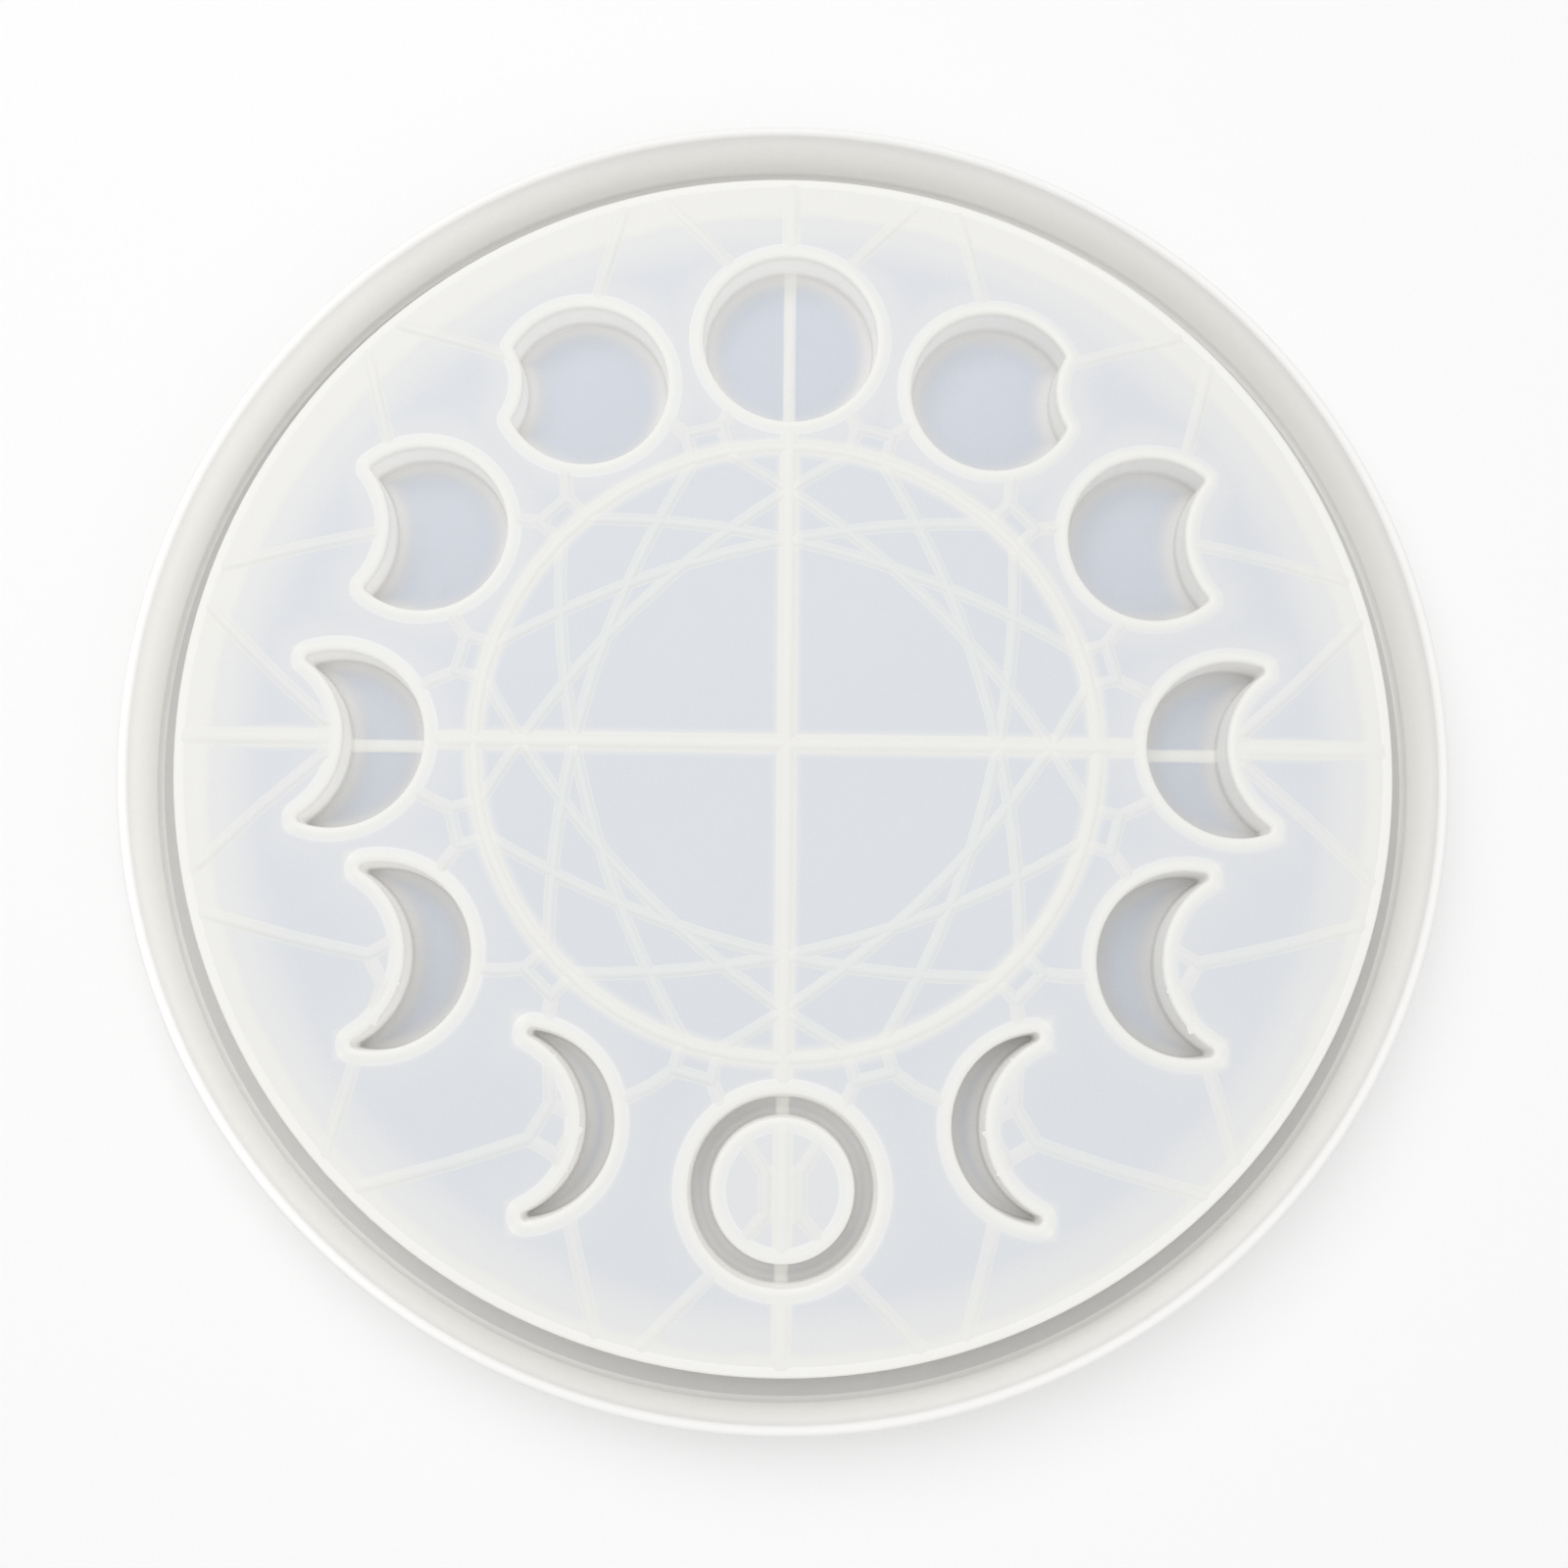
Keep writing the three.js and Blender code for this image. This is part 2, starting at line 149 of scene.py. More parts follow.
class MouldColours(bpy.types.PropertyGroup):
    """Colours of the silicone and the stage."""

    thin: tint(
        "Thin Silicone", "Flat sheet, where it is clear enough to look blue",
        (0.683, 0.704, 0.742),
    )
    thick: tint(
        "Thick Silicone", "Walls, rims and lines, where it is milky", (0.815, 0.81, 0.78)
    )
    pocket: tint("Pocket Floor", "Middle of a pocket's floor", (0.605, 0.635, 0.695))
    grey_floor: tint("Grey Floor", "Pocket floor beside the wall", (0.79, 0.785, 0.775))
    wall: tint("Pocket Wall", "Wall of a pocket", (0.95, 0.945, 0.93))
    lip: tint("Lip", "Rounded lip of a pocket", (0.84, 0.835, 0.81))
    rim: tint("Rim", "The outer rim, which light shines through", (0.97, 0.965, 0.945))
    shine: tint(
        "Shine Through", "Light that comes through a wall from behind it", (0.075, 0.073, 0.068)
    )
    rim_edge: tint("Rim Edge", "Rounded top edge of the rim", (0.85, 0.845, 0.835))
    # Partly the thin floor's own grey and partly painted shade of the narrow channel; the side
    # wall's foot and the rim's cove fade to it as painted shade
    channel: tint(
        "Channel Floor", "Thin floor of the channel round the deck", (0.62, 0.615, 0.605)
    )
    table: tint("Table", "The surface that the mould stands on", (0.93, 0.93, 0.93))


class MouldStage(bpy.types.PropertyGroup):
    """Lights of the stage."""

    key_power: FloatProperty(
        name="Key Light", description="Large soft light overhead", default=5.2, unit="POWER"
    )
    fill_power: FloatProperty(
        name="Fill Light", description="Soft light from the front", default=1.6, unit="POWER"
    )
    sky: FloatProperty(
        name="Sky", description="Strength of the even light all round", default=0.68, min=0
    )


# ---------------------------------------------------------------------------
# Meshes
# ---------------------------------------------------------------------------


def closed_ring(bm, places):
    """A closed ring of vertices joined by edges."""
    verts = [bm.verts.new(place) for place in places]
    for a, b in zip(verts, verts[1:] + verts[:1]):
        bm.edges.new((a, b))
    return verts


def ring_edges(bm, ring):
    """The edges of a closed ring of vertices."""
    return [bm.edges.get((a, b)) for a, b in zip(ring, ring[1:] + ring[:1])]


def extrude_ring(bm, ring, places):
    """Extrudes a closed ring and sets the new ring on the given places."""
    made = bmesh.ops.extrude_edge_only(bm, edges=ring_edges(bm, ring))["geom"]
    fresh = {item for item in made if isinstance(item, bmesh.types.BMVert)}
    new_ring = [
        next(e.other_vert(v) for e in v.link_edges if e.other_vert(v) in fresh) for v in ring
    ]
    for vert, place in zip(new_ring, places):
        vert.co = place
    return new_ring


def cap_ring(bm, ring):
    """A flat face over a ring, shaded flat so the rounded edge beside it stays smooth."""
    made = bmesh.ops.triangle_fill(
        bm, use_beauty=True, use_dissolve=False, edges=ring_edges(bm, ring)
    )["geom"]
    for item in made:
        if isinstance(item, bmesh.types.BMFace):
            item.smooth = False
            item.tag = True


def loft(bm, rings):
    """A closed skin through rings of places that all have the same count."""
    ring = closed_ring(bm, rings[0])
    cap_ring(bm, ring)
    for places in rings[1:]:
        ring = extrude_ring(bm, ring, places)
    cap_ring(bm, ring)


def turn(bm, profile, steps, centre=(0.0, 0.0)):
    """A closed profile of (radius, height) points spun once round an upright axis."""
    x, y = centre
    ring = closed_ring(bm, [Vector((x + r, y, z)) for r, z in profile])
    bmesh.ops.spin(
        bm, geom=ring + ring_edges(bm, ring), cent=(x, y, 0), axis=(0, 0, 1), dvec=(0, 0, 0),
        angle=2 * math.pi, steps=steps, use_merge=True, use_duplicate=False,
    )


def lay_sheet(bm, outlines):
    """The deck's thin sheet inside the first outline, with the others as openings."""
    edges = []
    for outline in outlines:
        places = [Vector((x, y, DECK_TOP)) for x, y in outline]
        edges += ring_edges(bm, closed_ring(bm, places))
    bmesh.ops.triangle_fill(bm, use_beauty=True, use_dissolve=False, edges=edges)
    plate = bmesh.ops.extrude_face_region(bm, geom=bm.faces[:])["geom"]
    low = [item for item in plate if isinstance(item, bmesh.types.BMVert)]
    bmesh.ops.translate(bm, verts=low, vec=(0, 0, DECK_UNDERSIDE - DECK_TOP))
    for face in bm.faces:
        face.tag = True


def arc(centre, radius, start, end, steps):
    """Points along an arc, angles in degrees."""
    points = []
    for i in range(steps + 1):
        angle = math.radians(start + (end - start) * i / steps)
        points.append((centre[0] + radius * math.cos(angle), centre[1] + radius * math.sin(angle)))
    return points


def add_piece(name, bm, node, material):
    """Turns a bmesh in millimetres into a finished piece that stands for a CAD node."""
    bmesh.ops.remove_doubles(bm, verts=bm.verts, dist=0.002)
    bmesh.ops.recalc_face_normals(bm, faces=bm.faces)
    for face in bm.faces:
        face.smooth = not face.tag
    for edge in bm.edges:
        edge.smooth = not edge.is_manifold or edge.calc_face_angle(0) < SHARP_ANGLE
    bmesh.ops.scale(bm, vec=(0.001, 0.001, 0.001), verts=bm.verts)
    mesh = bpy.data.meshes.new(name)
    bm.to_mesh(mesh)
    bm.free()
    mesh.materials.append(material)
    piece = bpy.data.objects.new(name, mesh)
    bpy.context.scene.collection.objects.link(piece)
    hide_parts(node)
    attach(piece, "root")
    return piece


# ---------------------------------------------------------------------------
# Moon outlines
# ---------------------------------------------------------------------------


def circle_radius():
    """The radius of the circle's line, over the middle of the ring wall."""
    return RING_OUTER - bpy.context.scene.mould_sizes.ring_thickness / 2


def moon_reach(moon):
    """How far a moon's centre stands from the middle of the deck."""
    return RING_OUTER + moon["clearance"] + bpy.context.scene.mould_sizes.cup_wall + moon["radius"]


def moon_centre(moon):
    """The middle of a moon's disc, flat."""
    angle = math.radians(moon["angle"])
    reach = moon_reach(moon)
    return Vector((reach * math.cos(angle), reach * math.sin(angle)))


def tip_turns(moon):
    """The round at a bitten moon's upper tip: its centre, outward and across from the disc's
    middle, and the angles at which it meets the disc and the bite."""
    tip = bpy.context.scene.mould_sizes.tip_radius
    reach_disc = moon["radius"] - tip
    reach_bite = moon["bite"] + tip
    shift = moon["shift"]
    along = (reach_disc**2 - reach_bite**2 + shift**2) / (2 * shift)
    across = math.sqrt(reach_disc**2 - along**2)
    disc_turn = math.degrees(math.atan2(across, along))
    bite_turn = math.degrees(math.atan2(across, shift - along))
    return along, across, disc_turn, bite_turn


def moon_outline(moon, grow, mirrored=False):
    """A moon's outline grown outward by the given amount, as flat points."""
    centre = moon_centre(moon)
    if "bite" not in moon:
        return arc(centre, moon["radius"] + grow, 0, 360, MOON_STEPS)[:-1]
    tip = bpy.context.scene.mould_sizes.tip_radius + grow
    along, across, disc_turn, bite_turn = tip_turns(moon)
    bite = (centre.x + moon["shift"], centre.y)
    disc_steps = round((1 - disc_turn / 180) * MOON_STEPS)
    bite_steps = max(10, round(bite_turn / 180 * MOON_STEPS))
    points = [
        *arc(centre, moon["radius"] + grow, disc_turn, 360 - disc_turn, disc_steps),
        *arc((centre.x + along, centre.y - across), tip, -disc_turn, bite_turn, 8)[1:],
        *arc(bite, moon["bite"] - grow, 180 + bite_turn, 180 - bite_turn, bite_steps)[1:],
        *arc((centre.x + along, centre.y + across), tip, -bite_turn, disc_turn, 8)[1:-1],
    ]
    return [(-x, y) for x, y in points] if mirrored else points


def mouth_distance(moon, x, y):
    """About how far a point on the deck lies outside a pocket's mouth, below 0 inside it."""
    centre = moon_centre(moon)
    away = math.hypot(x - centre.x, y - centre.y)
    if "island" in moon:
        return max(away - moon["radius"], moon["island"] - away)
    if "bite" in moon:
        from_bite = math.hypot(x - centre.x - moon["shift"], y - centre.y)
        return max(away - moon["radius"], moon["bite"] - from_bite)
    return away - moon["radius"]


def nearest_mouth(x, y):
    """The smallest distance to any mouth. The bitten moons are mirrored left and right."""
    bitten = min(mouth_distance(moon, abs(x), y) for moon in BITTEN_MOONS)
    return min(bitten, mouth_distance(FULL_MOON, x, y), mouth_distance(NEW_MOON, x, y))


# ---------------------------------------------------------------------------
# Materials
# ---------------------------------------------------------------------------


SILICONE_IOR = 1.41
SILICONE_SPECULAR = 0.4
BUMP_STRENGTH = 0.22
BUMP_METRES = 0.0002
UNLIT = (0.0, 0.0, 0.0, 1.0)

# The milky band along the deck's edge is wider toward the north, so its middle is set off
BAND_MIDDLE = (0.5, -1.8)


class Wire:
    """A node's output socket that can be used in Python arithmetic."""

    def __init__(self, recipe, socket):
        self.recipe = recipe
        self.socket = socket

    def _maths(self, operation, *values):
        inputs = dict(enumerate(values))
        return self.recipe.add("ShaderNodeMath", {"operation": operation}, inputs)

    def __add__(self, other):
        return self._maths("ADD", self, other)

    def __radd__(self, other):
        return self._maths("ADD", other, self)

    def __sub__(self, other):
        return self._maths("SUBTRACT", self, other)

    def __rsub__(self, other):
        return self._maths("SUBTRACT", other, self)

    def __mul__(self, other):
        return self._maths("MULTIPLY", self, other)

    def __abs__(self):
        return self._maths("ABSOLUTE", self)

    def smaller(self, other):
        return self._maths("MINIMUM", self, other)

    def larger(self, other):
        return self._maths("MAXIMUM", self, other)


class Recipe:
    """Adds the nodes of one material."""

    def __init__(self, name):
        self.material = bpy.data.materials.new(name)
        self.material.use_nodes = True
        self.tree = self.material.node_tree
        self.tree.nodes.clear()

    def add(self, kind, settings=None, inputs=None, output=0):
        """Adds one node. Its settings are set first, then the values or links of its sockets."""
        node = self.tree.nodes.new(kind)
        for key, value in (settings or {}).items():
            setattr(node, key, value)
        for key, value in (inputs or {}).items():
            if isinstance(value, Wire):
                self.tree.links.new(value.socket, node.inputs[key])
            else:
                node.inputs[key].default_value = value
        return Wire(self, node.outputs[output]) if len(node.outputs) else None

    def fade(self, value, full, gone):
        """1 while the value is on the full side, easing to 0 at the gone side."""
        return self.add(
            "ShaderNodeMapRange", {"interpolation_type": "SMOOTHSTEP"},
            {"Value": value, "From Min": full, "From Max": gone, "To Min": 1.0, "To Max": 0.0},
        )

    def blend(self, factor, first, second):
        """A colour between two colours."""
        return self.add(
            "ShaderNodeMix", {"data_type": "RGBA"},
            {"Factor": factor, 6: first, 7: second}, output=2,
        )

    def place(self):
        """The point being shaded, in millimetres: the whole vector and its three parts."""
        metres = self.add("ShaderNodeTexCoord", output="Object")
        vector = self.add(
            "ShaderNodeVectorMath", {"operation": "SCALE"}, {0: metres, "Scale": 1000.0}
        )
        parts = [self.add("ShaderNodeSeparateXYZ", None, {0: vector}, output=i) for i in range(3)]
        return vector, parts

    def noise(self, vector, size, detail=2.0, roughness=0.5):
        """Soft noise about 0, with lumps of about the given size in millimetres."""
        raw = self.add(
            "ShaderNodeTexNoise", None,
            {"Vector": vector, "Scale": 1.0 / size, "Detail": detail, "Roughness": roughness},
        )
        return raw - 0.5

    def flat(self, x, y):
        """A point on the deck's plane."""
        return self.add("ShaderNodeCombineXYZ", None, {0: x, 1: y})

    def distance(self, flat, x, y):
        """How far a flat point is from a fixed place."""
        return self.add(
            "ShaderNodeVectorMath", {"operation": "DISTANCE"},
            {0: flat, 1: (x, y, 0.0)}, output="Value",
        )

    def mouth_field(self, x, y):
        """How far a point is outside the nearest pocket's mouth, in millimetres, below 0 inside."""
        flat, folded = self.flat(x, y), self.flat(abs(x), y)
        full, new = moon_centre(FULL_MOON), moon_centre(NEW_MOON)
        tip = bpy.context.scene.mould_sizes.tip_radius
        nearest = self.distance(flat, full.x, full.y) - FULL_MOON["radius"]
        away = self.distance(flat, new.x, new.y)
        nearest = nearest.smaller((away - NEW_MOON["radius"]).larger(NEW_MOON["island"] - away))
        for moon in BITTEN_MOONS:
            centre = moon_centre(moon)
            outside = self.distance(folded, centre.x, centre.y) - moon["radius"]
            bitten = moon["bite"] - self.distance(folded, centre.x + moon["shift"], centre.y)
            past_tips = abs(x) - (centre.x + tip_turns(moon)[0] + tip)
            nearest = nearest.smaller(outside.larger(bitten).larger(past_tips))
        return nearest

    def finish(self, colour, roughness, height, lit):
        """Ends the recipe in silicone. Where it is lit, light shines through from behind."""
        bumped = self.add(
            "ShaderNodeBump", None,
            {"Strength": BUMP_STRENGTH, "Distance": BUMP_METRES, "Height": height},
        )
        inputs = {
            "Base Color": colour, "Roughness": roughness, "Normal": bumped,
            "IOR": SILICONE_IOR, "Specular IOR Level": SILICONE_SPECULAR,
        }
        if lit is not None:
            inputs.update({"Emission Color": lit, "Emission Strength": 1.0})
        surface = self.add("ShaderNodeBsdfPrincipled", None, inputs)
        self.add("ShaderNodeOutputMaterial", None, {"Surface": surface})
        return self.material


def colour4(rgb, dim=1.0):
    """A colour with its alpha, made darker or lighter by a factor."""
    return (rgb[0] * dim, rgb[1] * dim, rgb[2] * dim, 1.0)


def silicone_surface(recipe, vector, colour, lit=None):
    """Clouding, satin roughness and a faint cast grain, the same on every silicone piece."""
    cloud = recipe.noise(vector, 26.0, 3.0, 0.55)
    mottle = recipe.noise(vector, 3.2, 2.0, 0.6)
    grain = recipe.noise(vector, 0.55, 2.0, 0.6)
    shade = (cloud * 0.10 + mottle * 0.035 + 0.5).larger(0.0)
    grey = recipe.add("ShaderNodeCombineColor", None, {0: shade, 1: shade, 2: shade})
    clouded = recipe.add(
        "ShaderNodeMix", {"data_type": "RGBA", "blend_type": "OVERLAY"},
        {"Factor": 0.45, 6: colour, 7: grey}, output=2,
    )
    rough = 0.44 + cloud * 0.12 + mottle * 0.10
    return recipe.finish(clouded, rough, mottle + grain * 0.6, lit)


def milky_material():
    """Thick silicone of the walls under the deck."""
    if "milky_silicone" in bpy.data.materials:
        return bpy.data.materials["milky_silicone"]
    colours = bpy.context.scene.mould_colours
    recipe = Recipe("milky_silicone")
    vector, (_, _, z) = recipe.place()
    foot = recipe.fade(z, 0.0, DECK_TOP)
    tone = recipe.blend(foot, colour4(colours.thick, 1.1), colour4(colours.thick))
    return silicone_surface(recipe, vector, tone)


def crown_material():
    """Thick silicone of the deck's side wall: milky along the deck's edge, painted shade grey at
    its foot.
    """
    colours = bpy.context.scene.mould_colours
    recipe = Recipe("crown_silicone")
    vector, (_, _, z) = recipe.place()
    foot = recipe.fade(z, CHANNEL_TOP + 0.4, CHANNEL_TOP + 3.0)
    crown = recipe.fade(z, DECK_TOP - 0.1, DECK_TOP - 1.0)
    # Painted shade: the wall darkens toward its foot in the channel
    body = recipe.blend(foot * 0.8, colour4(colours.thick), colour4(colours.channel))
    tone = recipe.blend(crown, body, colour4(colours.thick, 1.06))
    return silicone_surface(recipe, vector, tone)


def rim_material():
    """Thick silicone of the rim. Light from the table shines through it more toward its edge."""
    colours = bpy.context.scene.mould_colours
    recipe = Recipe("rim_silicone")
    vector, (x, y, z) = recipe.place()
    away = recipe.distance(recipe.flat(x, y), 0.0, 0.0)
    inside = recipe.fade(away - z * 0.2, RIM_FOOT_OUTER - 2.2, RIM_FOOT_OUTER - 1.1)
    low = recipe.fade(z, CHANNEL_TOP, RIM_TOP - 1.0)
    foot = recipe.fade(z, CHANNEL_TOP, CHANNEL_TOP + 1.4)
    top = recipe.fade(z + recipe.noise(vector, 14.0) * 1.2, RIM_TOP - 0.3, RIM_TOP - 3.5)
    # Painted shade: the rim's wall darkens toward its foot
    wall = recipe.blend(low, colour4(colours.rim), colour4(colours.rim, 0.9))
    body = recipe.blend(inside, colour4(colours.rim, 0.92), wall)
    edged = recipe.blend(top, body, colour4(colours.rim_edge))
    # Painted shade: the cove at the rim's inner foot fades toward the shaded channel grey
    tone = recipe.blend(foot * inside * 0.5, edged, colour4(colours.channel))
    shining = recipe.blend(low, colour4(colours.shine, 0.7), colour4(colours.shine, 1.4))
    west = recipe.fade(x, -100.0, -15.0)
    shining = recipe.blend(west, shining, colour4(colours.shine, 2.1))
    lit = recipe.blend(inside - foot * inside * 0.75, UNLIT, shining)
    return silicone_surface(recipe, vector, tone, lit)


def channel_material():
    """Thin silicone of the channel's floor with painted shade, milky only at the mould's outer
    edge.
    """
    colours = bpy.context.scene.mould_colours
    recipe = Recipe("channel_silicone")
    vector, (x, y, _) = recipe.place()
    away = recipe.distance(recipe.flat(x, y), 0.0, 0.0)
    outer = recipe.fade(away, RIM_FOOT_OUTER - 0.2, RIM_FOOT_OUTER - 1.5)
    # The channel grey is partly painted shade of the narrow groove; it turns milky at the rim's
    # foot
    tone = recipe.blend(outer, colour4(colours.channel), colour4(colours.rim))
    return silicone_surface(recipe, vector, tone)


def milk_field(recipe, vector, x, y):
    """How milky the deck is at a point: 1 over a wall, 0 where the sheet is clear."""
    flat = recipe.flat(x, y)
    wobble = recipe.noise(vector, 9.0) * 1.6

    leaned = recipe.distance(flat, *BAND_MIDDLE) + wobble
    band = recipe.fade(leaned, DECK_RADIUS - 3.5, DECK_RADIUS - 8.0)
    wide_band = recipe.fade(leaned, DECK_RADIUS - 6.0, DECK_RADIUS - 15.0)

    away = recipe.distance(flat, 0.0, 0.0)
    circle = recipe.fade(abs(away - circle_radius()), 0.7, 2.6)
    cross = recipe.fade(abs(x).smaller(abs(y)), 0.8, 2.6)
    lines = circle.larger(cross)

    mouth = recipe.mouth_field(x, y) + wobble * 0.4
    near = recipe.fade(mouth, 1.0, 3.6) * 0.9
    around = recipe.fade(mouth, 2.0, 9.0) * (recipe.fade(y, 75.0, -65.0) * 0.25 + 0.15)

    new, shore = moon_centre(NEW_MOON), NEW_MOON["island"]
    island = recipe.fade(recipe.distance(flat, new.x, new.y), shore - 1.0, shore + 1.0)
    around = around.larger(island * 0.4)
    return band.larger(wide_band * 0.6).larger(lines * 0.85).larger(near).larger(around)


def deck_material():
    """Thin sheet, blue where it is clear and milky over every wall that it stands on."""
    if "deck_silicone" in bpy.data.materials:
        return bpy.data.materials["deck_silicone"]
    colours = bpy.context.scene.mould_colours
    recipe = Recipe("deck_silicone")
    vector, (x, y, _) = recipe.place()
    milk = milk_field(recipe, vector, x, y)
    tone = recipe.blend(milk, colour4(colours.thin), colour4(colours.thick))
    return silicone_surface(recipe, vector, tone)


def line_material():
    """Raised lines: a little milkier than the deck, and as milky as it gets over a wall."""
    if "line_silicone" in bpy.data.materials:
        return bpy.data.materials["line_silicone"]
    colours = bpy.context.scene.mould_colours
    recipe = Recipe("line_silicone")
    vector, (x, y, _) = recipe.place()
    milk = milk_field(recipe, vector, x, y) * 0.5 + 0.55
    tone = recipe.blend(milk.smaller(1.0), colour4(colours.thin), colour4(colours.thick))
    return silicone_surface(recipe, vector, tone)


def pocket_material():
    """A cup: milky wall and lip, with a floor that turns from grey to blue away from the wall.

    Painted light: floors are lighter toward the north, and walls toward the west.
    """
    if "pocket_silicone" in bpy.data.materials:
        return bpy.data.materials["pocket_silicone"]
    colours = bpy.context.scene.mould_colours
    sizes = bpy.context.scene.mould_sizes
    recipe = Recipe("pocket_silicone")
    vector, (x, y, z) = recipe.place()
    floor = DECK_TOP - sizes.pocket_depth
    mouth = recipe.mouth_field(x, y)
    # Painted light: pocket floors are lighter toward the north and darker toward the south
    north = recipe.fade(y, 75.0, -65.0)
    grey = recipe.blend(north, colour4(colours.grey_floor, 0.74), colour4(colours.grey_floor, 0.92))
    middle = recipe.blend(north, colour4(colours.pocket, 0.87), colour4(colours.pocket))
    bare_floor = recipe.blend(recipe.fade(mouth, -4.2, -0.4), grey, middle)
    cross = recipe.fade(abs(x).smaller(abs(y)), 0.75, 1.25)
    floor_tone = recipe.blend(cross * 0.85, bare_floor, colour4(colours.thick))
    milk = milk_field(recipe, vector, x, y)
    sheet = recipe.blend(milk, colour4(colours.thin), colour4(colours.thick))
    lip = recipe.blend(recipe.fade(mouth, 0.7, 2.0), sheet, colour4(colours.lip))
    # Painted shade: pocket walls are darker toward the east, lighter toward the west
    east = recipe.fade(x, 50.0, 5.0)
    side = recipe.blend(east, colour4(colours.wall), colour4(colours.wall, 0.93))
    wall = recipe.blend(recipe.fade(z, DECK_TOP - 0.2, DECK_TOP - 2.0), side, lip)
    tone = recipe.blend(recipe.fade(z, floor + 0.1, floor + 2.4), wall, floor_tone)
    by_wall = recipe.fade(z, DECK_TOP, DECK_TOP + 0.25) * recipe.fade(mouth, -0.7, -2.6)
    lit = recipe.blend(by_wall * (1.0 - east * 0.45), UNLIT, colour4(colours.shine))
    return silicone_surface(recipe, vector, tone, lit)


# ---------------------------------------------------------------------------
# Raised lines
# ---------------------------------------------------------------------------


def spaced(points, step):
    """The same path with a point at every step or less, corners kept."""
    path = [Vector(points[0])]
    for start, end in zip(points, points[1:]):
        start, end = Vector(start), Vector(end)
        count = max(1, math.ceil((end - start).length / step))
        path += [start.lerp(end, i / count) for i in range(1, count + 1)]
    return path


def clear_runs(path, keep):
    """The stretches of a path whose points all pass the test."""
    runs, run = [], []
    for point in path:
        if keep(point.x, point.y):
            run.append(point)
        elif run:
            runs.append(run)
            run = []
    if run:
        runs.append(run)
    return [run for run in runs if len(run) > 3]


def thinned(run, step):
    """Drops points of a straight stretch but keeps corners and both ends."""
    kept = [run[0]]
    for before, point, after in zip(run, run[1:], run[2:]):
        bend = (point - before).angle(after - point, 0)
        if bend > math.radians(4) or (point - kept[-1]).length >= step:
            kept.append(point)
    return kept + [run[-1]]


# Half of a line's section from its foot to its crest, as (share of the half width, share of
# the height). The foot's first height is in millimetres, a little below the surface it lies on.
BEAD_SIDE = (
    (1.6, -0.3), (1.6, 0.0), (1.35, 0.08), (1.1, 0.26), (0.85, 0.54), (0.55, 0.83), (0.22, 0.97)
)
BEAD_SECTION = [(-across, up) for across, up in BEAD_SIDE] + list(reversed(BEAD_SIDE))


def lay_bead(bm, run, width, base, height, ease=1.2):
    """A line with a rounded top along a run of points. It sinks to a low end over the ease."""
    length = sum((b - a).length for a, b in zip(run, run[1:]))
    travelled, rings = 0.0, []
    for i, point in enumerate(run):
        before, after = run[max(i - 1, 0)], run[min(i + 1, len(run) - 1)]
        arriving = (point - before) if i else (after - point)
        leaving = (after - point) if i < len(run) - 1 else (point - before)
        arriving, leaving = arriving.normalized(), leaving.normalized()
        mitre = (arriving + leaving).normalized()
        side = Vector((-mitre.y, mitre.x)) / max(0.6, mitre.dot(arriving))
        travelled += (point - before).length
        end = min(travelled, length - travelled) / ease
        rise = height * (0.35 + 0.65 * min(1.0, max(0.0, end)) ** 0.5)
        rings.append([
            Vector((*(point + side * (width / 2 * across)), base + (rise * up if up > 0 else up)))
            for across, up in BEAD_SECTION
        ])
    loft(bm, rings)


# The star's arcs: how near they come to the middle, and their radius
STAR_CLOSEST = 32.2
STAR_RADIUS = 146.2

# The gap boxes: how far they stand out from the circle, and half of their width
BOX_DEPTH = 4.3
BOX_HALF = 2.95

# A strand's corners, outward and across from the line through the moon's middle
STRAND_KNEE_IN = (55.6, 9.2)
STRAND_WAIST_IN = (65.5, 2.6)
STRAND_WAIST_OUT = (71.7, 2.6)
STRAND_KNEE_OUT = (80.0, 10.0)


def turned(path, degrees):
    """A path turned about the middle of the deck."""
    rotation = Matrix.Rotation(math.radians(degrees), 2)
    return [tuple(rotation @ Vector(point)) for point in path]


def in_each_gap(path):
    """A path repeated in every gap between two moons."""
    return [turned(path, (i + 0.5) * MOON_SPACING) for i in range(MOON_COUNT)]


def star_paths():
    """Twelve shallow arcs that bulge outward and start and end on the circle."""
    circle, radius = circle_radius(), STAR_RADIUS
    back = radius - STAR_CLOSEST
    away = math.acos((radius**2 - back**2 - circle**2) / (2 * back * circle))
    half = math.degrees(math.atan2(circle * math.sin(away), back + circle * math.cos(away)))
    return in_each_gap(arc((-back, 0), radius, -half, half, 40))


def box_paths():
    """The small box that stands on the circle in each gap between two moons."""
    inner, outer, half = circle_radius(), circle_radius() + BOX_DEPTH, BOX_HALF
    return in_each_gap([(inner, -half), (outer, -half), (outer, half), (inner, half)])


def strand_paths():
    """Two strands through each moon, from the gap boxes to the deck's edge, and two short bars."""
    outer, edge = circle_radius() + BOX_DEPTH, SHEET_RADIUS
    half_gap = Matrix.Rotation(math.radians(-MOON_SPACING / 2), 2)
    corner = half_gap @ Vector((outer, BOX_HALF))
    knee, splay = Vector(STRAND_KNEE_OUT), Vector((math.cos(math.pi / 4), math.sin(math.pi / 4)))
    along = knee.dot(splay)
    end = knee + splay * (math.sqrt(along**2 + edge**2 - knee.length_squared) - along)
    strand = [
        (corner.x, -corner.y), STRAND_KNEE_IN, STRAND_WAIST_IN, STRAND_WAIST_OUT,
        STRAND_KNEE_OUT, tuple(end),
    ]
    bars = [[(x, -y), (x, y)] for x, y in (STRAND_WAIST_IN, STRAND_WAIST_OUT)]
    flipped = [(x, -y) for x, y in strand]
    return [
        turned(path, MOON_SPACING * i)
        for i in range(MOON_COUNT) for path in (strand, flipped, *bars)
    ]


